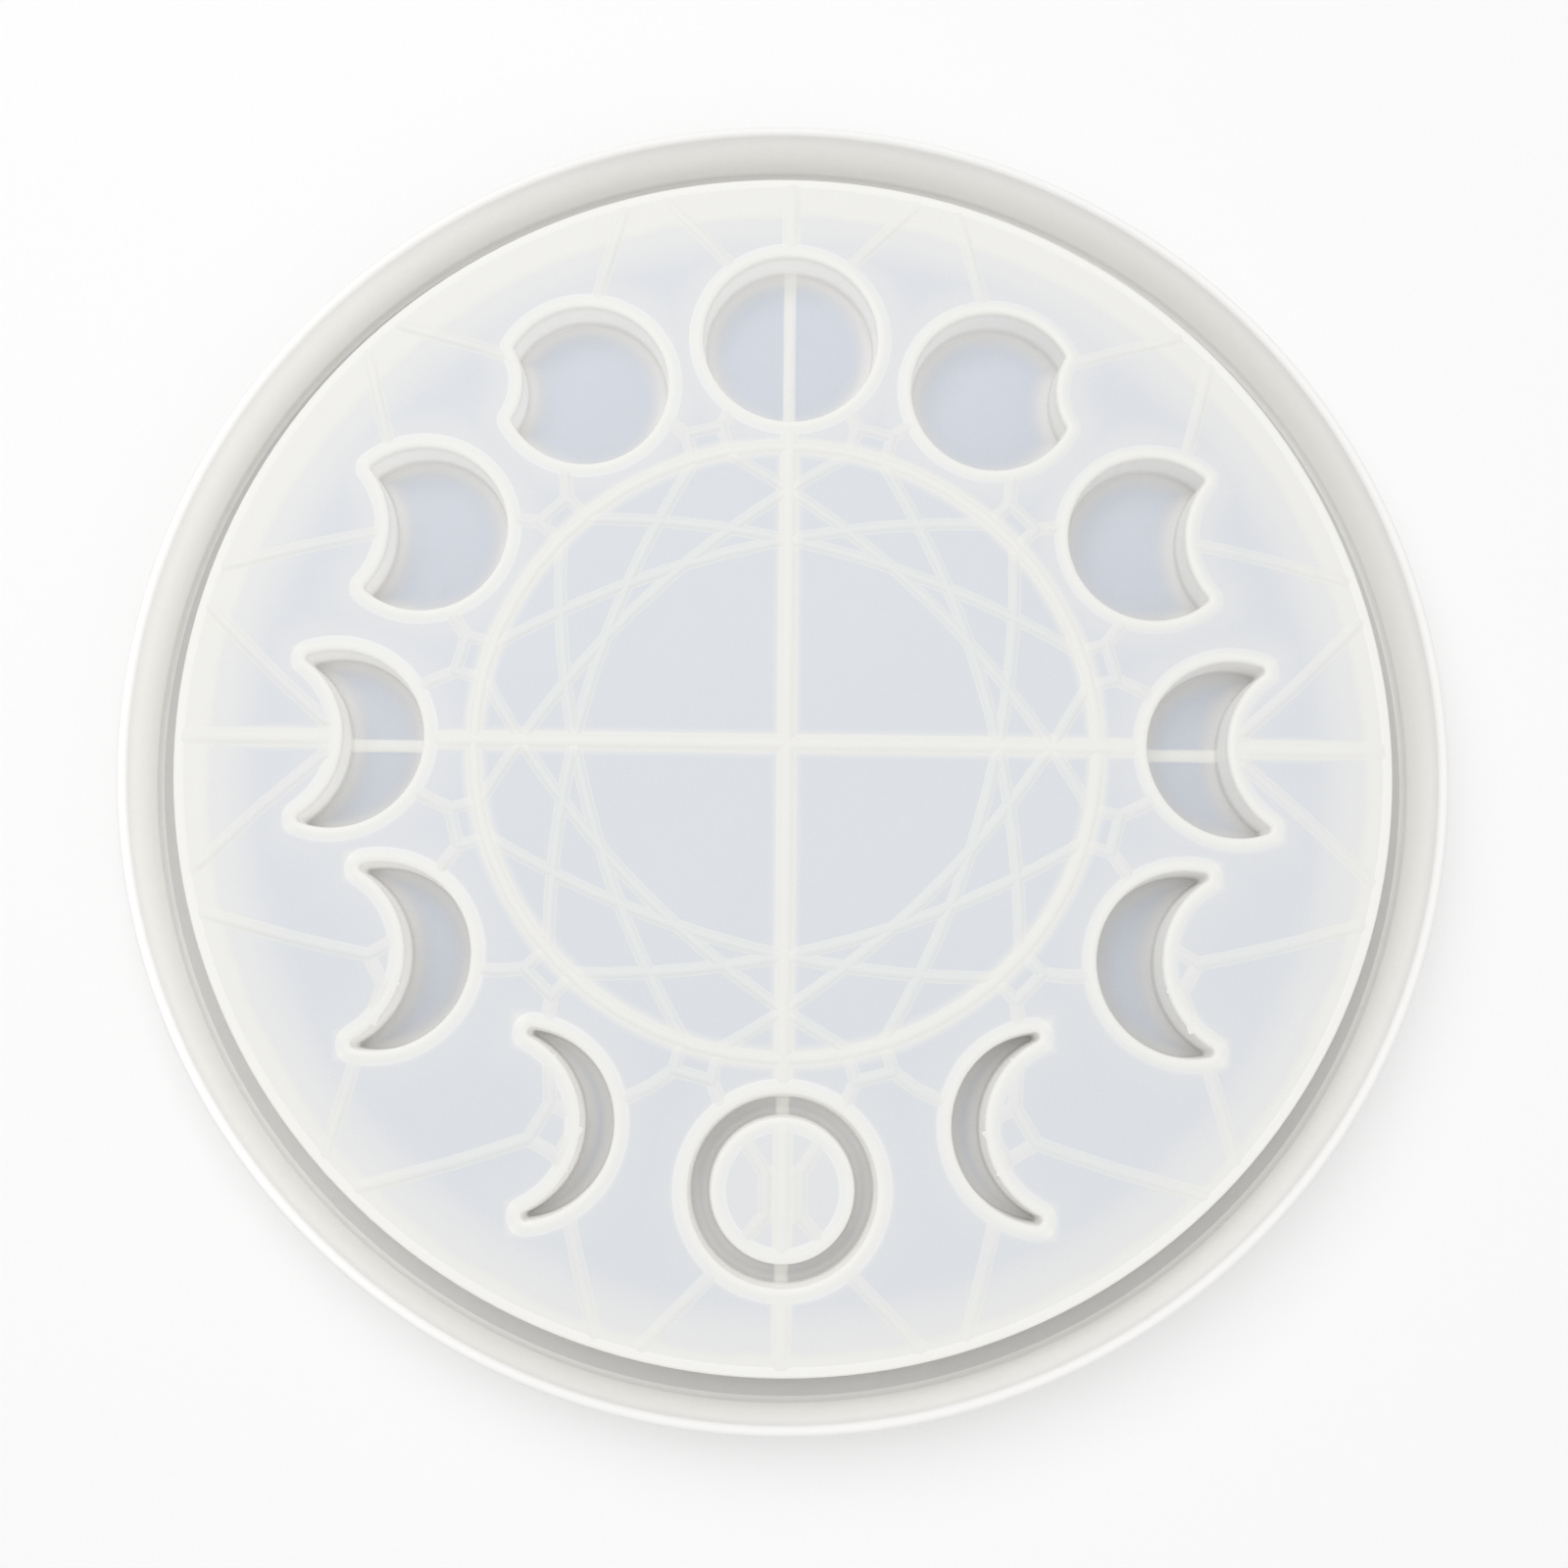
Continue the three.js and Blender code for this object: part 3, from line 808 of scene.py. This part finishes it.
def lay_lines(bm, keep):
    """Every raised line of the deck, where the test lets it lie."""
    sizes = bpy.context.scene.mould_sizes
    edge = DECK_RADIUS - 1.2
    cross = [[(-edge, 0), (edge, 0)], [(0, -edge), (0, edge)]]
    circle = [arc((0, 0), circle_radius(), 0, 360, 240)]
    kinds = (
        (cross, CROSS_WIDTH),
        (circle, sizes.circle_width),
        (star_paths(), sizes.star_width),
        (box_paths(), sizes.star_width),
        (strand_paths(), sizes.strand_width),
    )
    for paths, width in kinds:
        for i, path in enumerate(paths):
            height = sizes.line_height * (width / CROSS_WIDTH) ** 0.8 * (1 - 0.015 * (i % 7))
            for run in clear_runs(spaced(path, 0.25), keep):
                lay_bead(bm, thinned(run, 6.0), width, DECK_TOP, height)


# ---------------------------------------------------------------------------
# Operators
# ---------------------------------------------------------------------------


class MOULD_OT_rim(bpy.types.Operator):
    """Build the flared rim with its rounded edge and coved foot"""

    bl_idname = "mould.rim"
    bl_label = "Outer Rim"

    def execute(self, context):
        sizes = context.scene.mould_sizes
        foot = RIM_FOOT_OUTER - sizes.rim_foot
        edge = sizes.rim_top / 2
        cove = sizes.cove
        profile = [
            (RIM_FOOT_OUTER, CHANNEL_TOP),
            (RIM_FOOT_OUTER + 0.2, CHANNEL_TOP + 2.0),
            *arc((RIM_OUTER - edge, RIM_TOP - edge), edge, 0, 180, 14),
            (foot + 0.25, CHANNEL_TOP + cove + 1.2),
            *arc((foot - cove, CHANNEL_TOP + cove), cove, 0, -90, 6),
        ]
        bm = bmesh.new()
        turn(bm, profile, sizes.round_steps)
        add_piece("rim_shell", bm, "outer_rim", rim_material())
        return {"FINISHED"}


class MOULD_OT_channel(bpy.types.Operator):
    """Build the floor of the channel between the deck and the rim"""

    bl_idname = "mould.channel"
    bl_label = "Channel Floor"

    def execute(self, context):
        corner = 0.5
        profile = [
            (SIDE_WALL_INNER, 0.0),
            *arc((RIM_FOOT_OUTER - corner, corner), corner, -90, 0, 5),
            (RIM_FOOT_OUTER, CHANNEL_TOP),
            (SIDE_WALL_INNER, CHANNEL_TOP),
        ]
        bm = bmesh.new()
        turn(bm, profile, context.scene.mould_sizes.round_steps)
        add_piece("channel_bed", bm, "channel_floor", channel_material())
        return {"FINISHED"}


class MOULD_OT_side_wall(bpy.types.Operator):
    """Build the deck's side wall with the milky crown at the deck's edge"""

    bl_idname = "mould.side_wall"
    bl_label = "Deck Side Wall"

    def execute(self, context):
        sizes = context.scene.mould_sizes
        inner, crown, cove = SIDE_WALL_INNER, sizes.crown_round, sizes.cove
        foot = DECK_RADIUS + 0.25
        cove_arc = arc((foot + cove, CHANNEL_TOP + cove), cove, -90, -180, 6)
        profile = [
            (inner, CHANNEL_TOP),
            *cove_arc,
            (DECK_RADIUS, DECK_TOP - 1.5),
            *arc((DECK_RADIUS - crown, DECK_TOP - crown + 0.06), crown, 0, 90, 6),
            (inner + 0.3, DECK_TOP + 0.06),
            (inner - 0.2, DECK_TOP - 0.04),
            (inner - 0.2, DECK_TOP - 0.4),
            (inner, DECK_TOP - 0.8),
        ]
        bm = bmesh.new()
        turn(bm, profile, sizes.round_steps)
        add_piece("deck_crown", bm, "deck_side_wall", crown_material())
        return {"FINISHED"}


class MOULD_OT_deck(bpy.types.Operator):
    """Build the thin deck plate with an opening for each cup"""

    bl_idname = "mould.deck"
    bl_label = "Deck Plate"

    def execute(self, context):
        steps = context.scene.mould_sizes.round_steps
        outlines = [arc((0, 0), SHEET_RADIUS, 0, 360, steps)[:-1]]
        outlines += [moon_outline(moon, SHEET_GAP) for moon in (FULL_MOON, NEW_MOON)]
        for moon in BITTEN_MOONS:
            outlines += [moon_outline(moon, SHEET_GAP, mirrored) for mirrored in (False, True)]
        bm = bmesh.new()
        lay_sheet(bm, outlines)
        add_piece("deck_sheet", bm, "deck_plate", deck_material())
        return {"FINISHED"}


# The rounded mouth, as (outward, down from the lip's top), and the fillet at the floor, as
# (share of the way inward, up from the floor)
MOUTH_ROUND = ((0.62, 0.04), (0.34, 0.16), (0.14, 0.38), (0.03, 0.68), (0.0, 1.05))
FILLET = ((0.0, 1.0), (0.12, 0.6), (0.3, 0.3), (0.6, 0.08), (1.0, 0.0))

# Where the flat floor starts, outward from the mouth: in a cup and in the new moon's trough
CUP_FLOOR_EDGE = -0.64
TROUGH_FLOOR_EDGE = -1.1


def cup_section(floor_edge):
    """One side of a cup, as (outward from the mouth, height) points.

    It goes up the outside from the bottom, over the rounded lip, down the leaning wall and
    round the fillet to the floor's edge.
    """
    sizes = bpy.context.scene.mould_sizes
    wall, top = sizes.cup_wall, DECK_TOP + sizes.lip_height
    floor = DECK_TOP - sizes.pocket_depth
    foot = -math.tan(sizes.pocket_draft) * (sizes.pocket_depth - 1.0)
    outside = [
        (wall - 0.5, CUP_BOTTOM), (wall - 0.15, CUP_BOTTOM + 0.14), (wall, CUP_BOTTOM + 0.5),
        (wall, DECK_UNDERSIDE - 0.6), (wall + 0.2, DECK_UNDERSIDE - 0.15),
        (wall + 0.65, DECK_UNDERSIDE + 0.1),
    ]
    lip = [
        (wall + 0.65, DECK_TOP - 0.3), (wall + 1.2, DECK_TOP - 0.05), (wall + 0.6, top - 0.17),
        (wall, top - 0.06), (wall - 0.45, top),
    ]
    mouth = [(out, top - down) for out, down in MOUTH_ROUND]
    fillet = [(foot + (floor_edge - foot) * along, floor + rise) for along, rise in FILLET]
    return [*outside, *lip, *mouth, *fillet]


def cup_rings(moon, mirrored):
    """The rings of a cup, from its bottom round over the lip and down to its floor."""
    return [
        [Vector((x, y, z)) for x, y in moon_outline(moon, grow, mirrored)]
        for grow, z in cup_section(CUP_FLOOR_EDGE)
    ]


def lay_floor_line(bm, along, start, end):
    """A low line across a pocket's floor, along a unit direction from the middle of the deck."""
    sizes = bpy.context.scene.mould_sizes
    floor = DECK_TOP - sizes.pocket_depth
    run = [Vector(along) * reach for reach in (start, (start + end) / 2, end)]
    lay_bead(bm, run, CROSS_WIDTH, floor, sizes.floor_line_height, ease=0.01)


class MOULD_OT_cups(bpy.types.Operator):
    """Build the full moon's cup and the ten bitten moons' cups"""

    bl_idname = "mould.cups"
    bl_label = "Moon Cups"

    def execute(self, context):
        cups = [(FULL_MOON, False, "full_moon_cup")]
        for side, mirrored in (("waning", False), ("waxing", True)):
            cups += [(moon, mirrored, f"{side}_{moon['phase']}_cup") for moon in BITTEN_MOONS]
        for moon, mirrored, node in cups:
            bm = bmesh.new()
            loft(bm, cup_rings(moon, mirrored))
            reach, radius = moon_reach(moon), moon["radius"]
            start = reach - radius + LINE_INSET
            if moon is FULL_MOON:
                lay_floor_line(bm, (0, 1), start, reach + radius - LINE_INSET)
            elif moon is HALF_MOON:
                along = (-1, 0) if mirrored else (1, 0)
                end = reach + moon["shift"] - moon["bite"] - LINE_INSET
                lay_floor_line(bm, along, start, end)
            add_piece(node.replace("_cup", "_pocket"), bm, node, pocket_material())
        return {"FINISHED"}


class MOULD_OT_new_moon(bpy.types.Operator):
    """Build the new moon's round trough and the island in its middle"""

    bl_idname = "mould.new_moon"
    bl_label = "New Moon"

    def execute(self, context):
        outer, inner = NEW_MOON["radius"], NEW_MOON["island"]
        half = cup_section(TROUGH_FLOOR_EDGE)
        profile = [(outer + grow, z) for grow, z in half]
        profile += [(inner - grow, z) for grow, z in reversed(half)]
        centre, reach = moon_centre(NEW_MOON), moon_reach(NEW_MOON)
        bm = bmesh.new()
        turn(bm, profile, MOON_STEPS, centre)
        near, far = inner + LINE_INSET, outer - LINE_INSET
        for start, end in ((-far, -near), (near, far)):
            lay_floor_line(bm, (0, -1), reach + start, reach + end)
        add_piece("new_moon_groove", bm, "new_moon_trough", pocket_material())

        bm = bmesh.new()
        lay_sheet(bm, [arc(centre, inner - SHEET_GAP, 0, 360, MOON_STEPS)[:-1]])
        add_piece("island_sheet", bm, "new_moon_island", deck_material())
        return {"FINISHED"}


class MOULD_OT_lines(bpy.types.Operator):
    """Build the raised lines of the deck and of the new moon's island"""

    bl_idname = "mould.lines"
    bl_label = "Raised Lines"

    def execute(self, context):
        centre = moon_centre(NEW_MOON)
        island = NEW_MOON["island"]

        def on_island(x, y):
            return math.hypot(x - centre.x, y - centre.y) < island - 0.5

        def on_deck(x, y):
            return nearest_mouth(x, y) > 0.5 and math.hypot(x - centre.x, y - centre.y) > island

        bm = bmesh.new()
        lay_lines(bm, on_deck)
        add_piece("deck_lines", bm, "deck_line_work", line_material())
        bm = bmesh.new()
        lay_lines(bm, on_island)
        add_piece("island_lines", bm, "island_line_work", line_material())
        return {"FINISHED"}


class MOULD_OT_under_walls(bpy.types.Operator):
    """Build the round wall and the straight walls under the deck"""

    bl_idname = "mould.under_walls"
    bl_label = "Walls Under Deck"

    def execute(self, context):
        sizes = context.scene.mould_sizes
        outer, inner = RING_OUTER, RING_OUTER - sizes.ring_thickness
        foot, cove = 0.4, 0.7
        profile = [
            *arc((outer - foot, foot), foot, -90, 0, 4),
            *arc((outer + cove, WALL_ROOF - cove), cove, 180, 90, 5),
            *arc((inner - cove, WALL_ROOF - cove), cove, 90, 0, 5),
            *arc((inner + foot, foot), foot, 180, 270, 4),
        ]
        bm = bmesh.new()
        turn(bm, profile, sizes.round_steps)
        add_piece("ring_web", bm, "ring_wall", milky_material())

        # The second bar starts a little higher, so that no two faces share the crossing's foot
        bm = bmesh.new()
        reach = inner + OVERLAP
        for degrees, foot in ((0, 0.0), (90, 0.03)):
            self.wall(bm, -reach, reach, [], degrees, foot)
        add_piece("centre_web", bm, "centre_cross_wall", milky_material())
        return self.outer_walls()

    def outer_walls(self):
        """The four straight walls between the ring wall and the deck's side wall."""
        wall = bpy.context.scene.mould_sizes.cup_wall
        half, full, new = (moon_reach(moon) for moon in (HALF_MOON, FULL_MOON, NEW_MOON))
        half_side = HALF_MOON["shift"] - HALF_MOON["bite"] + wall
        half_stretch = [(half - HALF_MOON["radius"] - wall, half + half_side)]
        full_side = FULL_MOON["radius"] + wall
        full_stretch = [(full - full_side, full + full_side)]
        new_side, inside = NEW_MOON["radius"] + wall, NEW_MOON["island"] - wall
        new_stretches = [(new - new_side, new - inside), (new + inside, new + new_side)]
        walls = (
            ("east", 0, half_stretch), ("north", 90, full_stretch),
            ("west", 180, half_stretch), ("south", 270, new_stretches),
        )
        for name, degrees, stretches in walls:
            bm = bmesh.new()
            self.wall(bm, RING_OUTER - OVERLAP, SIDE_WALL_INNER + OVERLAP, stretches, degrees, 0.0)
            add_piece(f"{name}_web", bm, f"{name}_wall", milky_material())
        return {"FINISHED"}

    def wall(self, bm, start, end, stretches, degrees, foot):
        """A straight wall with a rounded foot, cut down where it passes under a cup."""
        outline = [(start, foot), (start, WALL_ROOF)]
        for near, far in stretches:
            outline += [
                (near, WALL_ROOF), (near, CUP_BOTTOM), (far, CUP_BOTTOM), (far, WALL_ROOF)
            ]
        outline += [(end, WALL_ROOF), (end, foot)]
        made = bmesh.new()
        ring = closed_ring(made, [Vector((x, -CROSS_WIDTH / 2, z)) for x, z in outline])
        bmesh.ops.triangle_fill(
            made, use_beauty=True, use_dissolve=True, edges=ring_edges(made, ring)
        )
        sheet = bmesh.ops.extrude_face_region(made, geom=made.faces[:])["geom"]
        far_side = [item for item in sheet if isinstance(item, bmesh.types.BMVert)]
        bmesh.ops.translate(made, verts=far_side, vec=(0, CROSS_WIDTH, 0))
        low_edges = [
            e for e in made.edges
            if all(v.co.z < foot + 0.01 for v in e.verts)
            and abs(e.verts[0].co.x - e.verts[1].co.x) > 1
        ]
        bmesh.ops.bevel(
            made, geom=low_edges, offset=0.45, offset_type="OFFSET", segments=4, profile=0.5,
            affect="EDGES", material=-1,
        )
        rotation = Matrix.Rotation(math.radians(degrees), 3, "Z")
        bmesh.ops.rotate(made, verts=made.verts, cent=(0, 0, 0), matrix=rotation)
        mesh = bpy.data.meshes.new("wall_part")
        made.to_mesh(mesh)
        made.free()
        bm.from_mesh(mesh)
        bpy.data.meshes.remove(mesh)


class MOULD_OT_stage(bpy.types.Operator):
    """Build the table, the soft lights and the camera"""

    bl_idname = "mould.stage"
    bl_label = "Stage"

    def execute(self, context):
        stage, colours = context.scene.mould_stage, context.scene.mould_colours
        bm = bmesh.new()
        bmesh.ops.create_grid(bm, x_segments=8, y_segments=8, size=2.0)
        mesh = bpy.data.meshes.new("table_top")
        bm.to_mesh(mesh)
        bm.free()
        recipe = Recipe("table_paint")
        vector, _ = recipe.place()
        paper = recipe.noise(vector, 60.0, 2.0)
        tone = recipe.blend(paper * 0.3 + 0.5, colour4(colours.table), colour4(colours.table, 0.99))
        surface = recipe.add(
            "ShaderNodeBsdfPrincipled", None, {"Base Color": tone, "Roughness": 0.7}
        )
        recipe.add("ShaderNodeOutputMaterial", None, {"Surface": surface})
        mesh.materials.append(recipe.material)
        table = bpy.data.objects.new("table_top", mesh)
        context.scene.collection.objects.link(table)

        self.light("key_light", (-0.28, 0.42, 1.0), 1.1, stage.key_power)
        self.light("fill_light", (0.45, -0.6, 0.8), 1.0, stage.fill_power)

        world = bpy.data.worlds.new("even_light")
        world.use_nodes = True
        background = world.node_tree.nodes["Background"]
        background.inputs["Color"].default_value = (1.0, 1.0, 1.0, 1.0)
        background.inputs["Strength"].default_value = stage.sky
        context.scene.world = world
        context.scene.view_settings.view_transform = "Standard"
        self.camera(context)
        return {"FINISHED"}

    def light(self, name, place, size, power):
        """A square soft light aimed at the middle of the mould."""
        lamp = bpy.data.lights.new(name, "AREA")
        lamp.shape = "SQUARE"
        lamp.size = size
        lamp.energy = power
        holder = bpy.data.objects.new(name, lamp)
        holder.location = place
        holder.rotation_euler = (-Vector(place)).to_track_quat("-Z", "Y").to_euler()
        bpy.context.scene.collection.objects.link(holder)

    def camera(self, context):
        """Nearly overhead, leaning in a little from the front."""
        lens = bpy.data.cameras.new("overhead_camera")
        lens.lens = 40.3
        lens.sensor_width = 36.0
        lens.clip_start = 0.01
        holder = bpy.data.objects.new("overhead_camera", lens)
        right = Vector((0.999786, 0.009519, 0.018341))
        up = Vector((-0.0125126, 0.98524, 0.170714))
        back = Vector((-0.016446, -0.170907, 0.98515))
        turn_matrix = Matrix((right, up, back)).transposed().to_4x4()
        holder.matrix_world = Matrix.Translation((-0.00484, -0.0530, 0.27756)) @ turn_matrix
        context.scene.collection.objects.link(holder)
        context.scene.camera = holder


PIECES = (
    MOULD_OT_rim, MOULD_OT_channel, MOULD_OT_side_wall, MOULD_OT_deck, MOULD_OT_cups,
    MOULD_OT_new_moon, MOULD_OT_lines, MOULD_OT_under_walls, MOULD_OT_stage,
)


class MOULD_PT_panel(bpy.types.Panel):
    """Lists the sizes, the colours and every piece of the mould"""

    bl_label = "Casting Mould"
    bl_idname = "MOULD_PT_panel"
    bl_space_type = "VIEW_3D"
    bl_region_type = "UI"
    bl_category = "Mould"

    def draw(self, context):
        scene = context.scene
        groups = (
            ("Sizes", scene.mould_sizes), ("Colours", scene.mould_colours),
            ("Stage", scene.mould_stage),
        )
        for title, group in groups:
            self.layout.label(text=title)
            for key in group.__annotations__:
                self.layout.prop(group, key)
        for piece in PIECES:
            self.layout.operator(piece.bl_idname)


CLASSES = (MouldSizes, MouldColours, MouldStage, *PIECES, MOULD_PT_panel)


def register():
    """Adds the classes and their settings to Blender."""
    for cls in CLASSES:
        bpy.utils.register_class(cls)
    bpy.types.Scene.mould_sizes = PointerProperty(type=MouldSizes)
    bpy.types.Scene.mould_colours = PointerProperty(type=MouldColours)
    bpy.types.Scene.mould_stage = PointerProperty(type=MouldStage)


def unregister():
    """Takes the settings and the classes away again."""
    del bpy.types.Scene.mould_stage
    del bpy.types.Scene.mould_colours
    del bpy.types.Scene.mould_sizes
    for cls in reversed(CLASSES):
        bpy.utils.unregister_class(cls)


def main():
    register()
    bpy.ops.mould.rim()
    bpy.ops.mould.channel()
    bpy.ops.mould.side_wall()
    bpy.ops.mould.deck()
    bpy.ops.mould.cups()
    bpy.ops.mould.new_moon()
    bpy.ops.mould.lines()
    bpy.ops.mould.under_walls()
    bpy.ops.mould.stage()


if __name__ == "__main__":
    main()
